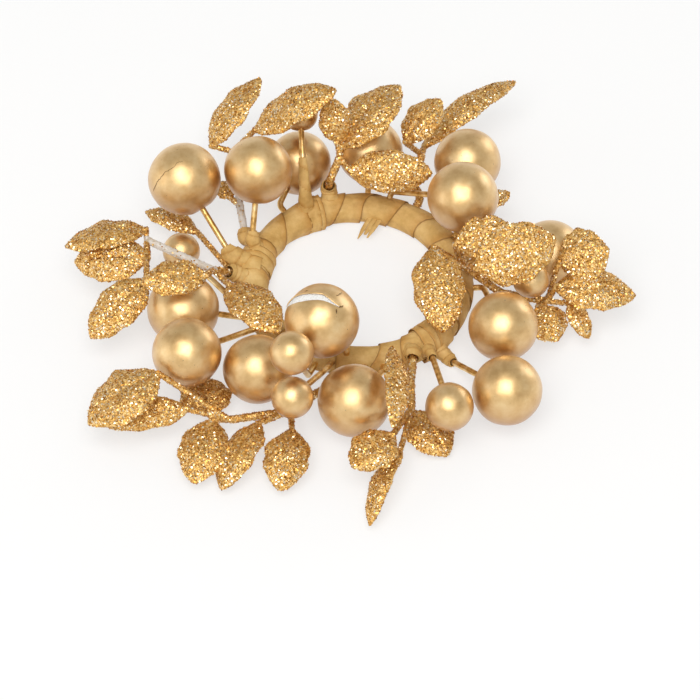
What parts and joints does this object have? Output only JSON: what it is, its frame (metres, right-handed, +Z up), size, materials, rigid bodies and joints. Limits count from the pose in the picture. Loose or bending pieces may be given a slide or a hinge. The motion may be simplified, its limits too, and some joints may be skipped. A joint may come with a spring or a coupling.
{
  "type": "candle ring",
  "caption": "Candle ring: a tape-bound wire hoop carrying satin gold berries on bendable wires and glitter leaf sprays, laid around the base of a candle.",
  "frame": {"origin": "on the ring's axis, in the plane that it rests on", "axes": "+Z up along the axis of the candle opening, +X to the right and -Y to the viewer of the picture"},
  "size_m": [0.066, 0.0637, 0.0175],
  "materials": {
    "floral_tape": "matte crepe, beige gold",
    "core_steel": "plain wire, hidden in the tape",
    "gold_wire": "satin gold",
    "satin_gold": "satin gold paint on moulded foam",
    "glitter_plastic": "clear moulding coated with gold glitter"
  },
  "bodies": {
    "ring": {"ring_core_wire": "core_steel", "tape_wrap": "floral_tape"},
    "large_pick_01": {"large_berry_01": "satin_gold", "large_berry_wire_01": "gold_wire"},
    "large_pick_02": {"large_berry_02": "satin_gold", "large_berry_wire_02": "gold_wire"},
    "large_pick_03": {"large_berry_03": "satin_gold", "large_berry_wire_03": "gold_wire"},
    "large_pick_04": {"large_berry_04": "satin_gold", "large_berry_wire_04": "gold_wire"},
    "large_pick_05": {"large_berry_05": "satin_gold", "large_berry_wire_05": "gold_wire"},
    "large_pick_06": {"large_berry_06": "satin_gold", "large_berry_wire_06": "gold_wire"},
    "large_pick_07": {"large_berry_07": "satin_gold", "large_berry_wire_07": "gold_wire"},
    "large_pick_08": {"large_berry_08": "satin_gold", "large_berry_wire_08": "gold_wire"},
    "large_pick_09": {"large_berry_09": "satin_gold", "large_berry_wire_09": "gold_wire"},
    "large_pick_10": {"large_berry_10": "satin_gold", "large_berry_wire_10": "gold_wire"},
    "large_pick_11": {"large_berry_11": "satin_gold", "large_berry_wire_11": "gold_wire"},
    "large_pick_12": {"large_berry_12": "satin_gold", "large_berry_wire_12": "gold_wire"},
    "large_pick_13": {"large_berry_13": "satin_gold", "large_berry_wire_13": "gold_wire"},
    "large_pick_14": {"large_berry_14": "satin_gold", "large_berry_wire_14": "gold_wire"},
    "small_pick_01": {"small_berry_01": "satin_gold", "small_berry_wire_01": "gold_wire"},
    "small_pick_02": {"small_berry_02": "satin_gold", "small_berry_wire_02": "gold_wire"},
    "small_pick_03": {"small_berry_03": "satin_gold", "small_berry_wire_03": "gold_wire"},
    "small_pick_04": {"small_berry_04": "satin_gold", "small_berry_wire_04": "gold_wire"},
    "small_pick_05": {"small_berry_05": "satin_gold", "small_berry_wire_05": "gold_wire"},
    "small_pick_06": {"small_berry_06": "satin_gold", "small_berry_wire_06": "gold_wire"},
    "spray_back_left": {"leaf_spray_back_left": "glitter_plastic"},
    "spray_back": {"leaf_spray_back": "glitter_plastic"},
    "spray_back_right": {"leaf_spray_back_right": "glitter_plastic"},
    "spray_right": {"leaf_spray_right": "glitter_plastic"},
    "spray_front_right": {"leaf_spray_front_right": "glitter_plastic"},
    "spray_front_left": {"leaf_spray_front_left": "glitter_plastic"},
    "spray_left": {"leaf_spray_left": "glitter_plastic"}
  },
  "joints": [
    {"name": "large_pick_01_bend", "type": "hinge", "parent": "ring", "child": "large_pick_01", "pos_m": [-0.01296, 0.00252, 0.00204], "axis": [0.1908, 0.9816, 0], "range_deg": [-3, 0]},
    {"name": "large_pick_02_bend", "type": "hinge", "parent": "ring", "child": "large_pick_02", "pos_m": [-0.01167, 0.00448, 0.00259], "axis": [0.3584, 0.9336, 0], "range_deg": [0, 12]},
    {"name": "large_pick_03_bend", "type": "hinge", "parent": "ring", "child": "large_pick_03", "pos_m": [-0.00821, 0.01051, 0.00175], "axis": [0.788, 0.6157, 0], "range_deg": [-3, 0]},
    {"name": "large_pick_04_bend", "type": "hinge", "parent": "ring", "child": "large_pick_04", "pos_m": [0.00138, 0.01316, 0.00198], "axis": [0.9945, -0.1045, 0], "range_deg": [-12, 6]},
    {"name": "large_pick_05_bend", "type": "hinge", "parent": "ring", "child": "large_pick_05", "pos_m": [0.00927, 0.0096, 0.00175], "axis": [0.7193, -0.6947, 0], "range_deg": [-9, 6]},
    {"name": "large_pick_06_bend", "type": "hinge", "parent": "ring", "child": "large_pick_06", "pos_m": [0.00396, 0.0122, 0.00242], "axis": [0.9511, -0.309, 0], "range_deg": [-3, 3]},
    {"name": "large_pick_07_bend", "type": "hinge", "parent": "ring", "child": "large_pick_07", "pos_m": [-0.01179, -0.00601, 0.00198], "axis": [-0.454, 0.891, 0], "range_deg": [0, 3]},
    {"name": "large_pick_08_bend", "type": "hinge", "parent": "ring", "child": "large_pick_08", "pos_m": [-0.01046, -0.00788, 0.00217], "axis": [-0.6018, 0.7986, 0], "range_deg": [0, 12]},
    {"name": "large_pick_09_bend", "type": "hinge", "parent": "ring", "child": "large_pick_09", "pos_m": [-0.00875, -0.01007, 0.00175], "axis": [-0.7547, 0.6561, 0], "range_deg": [-3, 0]},
    {"name": "large_pick_10_bend", "type": "hinge", "parent": "ring", "child": "large_pick_10", "pos_m": [-0.00107, -0.01222, 0.00265], "axis": [-0.9962, 0.0872, 0], "range_deg": [-3, 12]},
    {"name": "large_pick_11_bend", "type": "hinge", "parent": "ring", "child": "large_pick_11", "pos_m": [0.003, -0.013, 0.00175], "axis": [-0.9744, -0.225, 0], "range_deg": [-3, 6]},
    {"name": "large_pick_12_bend", "type": "hinge", "parent": "ring", "child": "large_pick_12", "pos_m": [0.01337, -0.00093, 0.00152], "axis": [-0.0698, -0.9976, 0], "range_deg": [-3, 3]},
    {"name": "large_pick_13_bend", "type": "hinge", "parent": "ring", "child": "large_pick_13", "pos_m": [0.00931, -0.00963, 0.00098], "axis": [-0.7193, -0.6947, 0], "range_deg": [-3, 6]},
    {"name": "large_pick_14_bend", "type": "hinge", "parent": "ring", "child": "large_pick_14", "pos_m": [0.01282, 0.00368, 0.00175], "axis": [0.2756, -0.9613, 0], "range_deg": [0, 3]},
    {"name": "small_pick_01_bend", "type": "hinge", "parent": "ring", "child": "small_pick_01", "pos_m": [-0.00589, 0.01062, 0.00267], "axis": [0.8746, 0.4848, 0], "range_deg": [0, 6]},
    {"name": "small_pick_02_bend", "type": "hinge", "parent": "ring", "child": "small_pick_02", "pos_m": [-0.01322, -0.00233, 0.0014], "axis": [-0.1736, 0.9848, 0], "range_deg": [-3, 12]},
    {"name": "small_pick_03_bend", "type": "hinge", "parent": "ring", "child": "small_pick_03", "pos_m": [-0.00458, -0.01258, 0.00161], "axis": [-0.9397, 0.342, 0], "range_deg": [-3, 0]},
    {"name": "small_pick_04_bend", "type": "hinge", "parent": "ring", "child": "small_pick_04", "pos_m": [-0.00274, -0.01287, 0.0021], "axis": [-0.9781, 0.2079, 0], "range_deg": [-9, 0]},
    {"name": "small_pick_05_bend", "type": "hinge", "parent": "ring", "child": "small_pick_05", "pos_m": [0.00778, -0.01071, 0.00198], "axis": [-0.809, -0.5878, 0], "range_deg": [0, 12]},
    {"name": "small_pick_06_bend", "type": "hinge", "parent": "ring", "child": "small_pick_06", "pos_m": [0.01294, 0.00205, 0.00217], "axis": [0.1564, -0.9877, 0], "range_deg": [0, 6]},
    {"name": "spray_back_left_bend", "type": "hinge", "parent": "ring", "child": "spray_back_left", "pos_m": [-0.01174, 0.00651, 0.0014], "axis": [0.4848, 0.8746, 0], "range_deg": [-12, 3]},
    {"name": "spray_back_bend", "type": "hinge", "parent": "ring", "child": "spray_back", "pos_m": [-0.00308, 0.01235, 0.00249], "axis": [0.9703, 0.2419, 0], "range_deg": [0, 9]},
    {"name": "spray_back_right_bend", "type": "hinge", "parent": "ring", "child": "spray_back_right", "pos_m": [0.00702, 0.01123, 0.00198], "axis": [0.848, -0.5299, 0], "range_deg": [-9, 12]},
    {"name": "spray_right_bend", "type": "hinge", "parent": "ring", "child": "spray_right", "pos_m": [0.01141, 0.00607, 0.00235], "axis": [0.4695, -0.8829, 0], "range_deg": [-3, 3]},
    {"name": "spray_front_right_bend", "type": "hinge", "parent": "ring", "child": "spray_front_right", "pos_m": [0.00611, -0.01149, 0.00227], "axis": [-0.8829, -0.4695, 0], "range_deg": [0, 3]},
    {"name": "spray_front_left_bend", "type": "hinge", "parent": "ring", "child": "spray_front_left", "pos_m": [0.00093, -0.01331, 0.00175], "axis": [-0.9976, -0.0698, 0], "range_deg": [-3, 0]},
    {"name": "spray_left_bend", "type": "hinge", "parent": "ring", "child": "spray_left", "pos_m": [-0.01317, 0.00023, 0.00208], "axis": [0.0175, 0.9998, 0], "range_deg": [0, 6]}
  ]
}
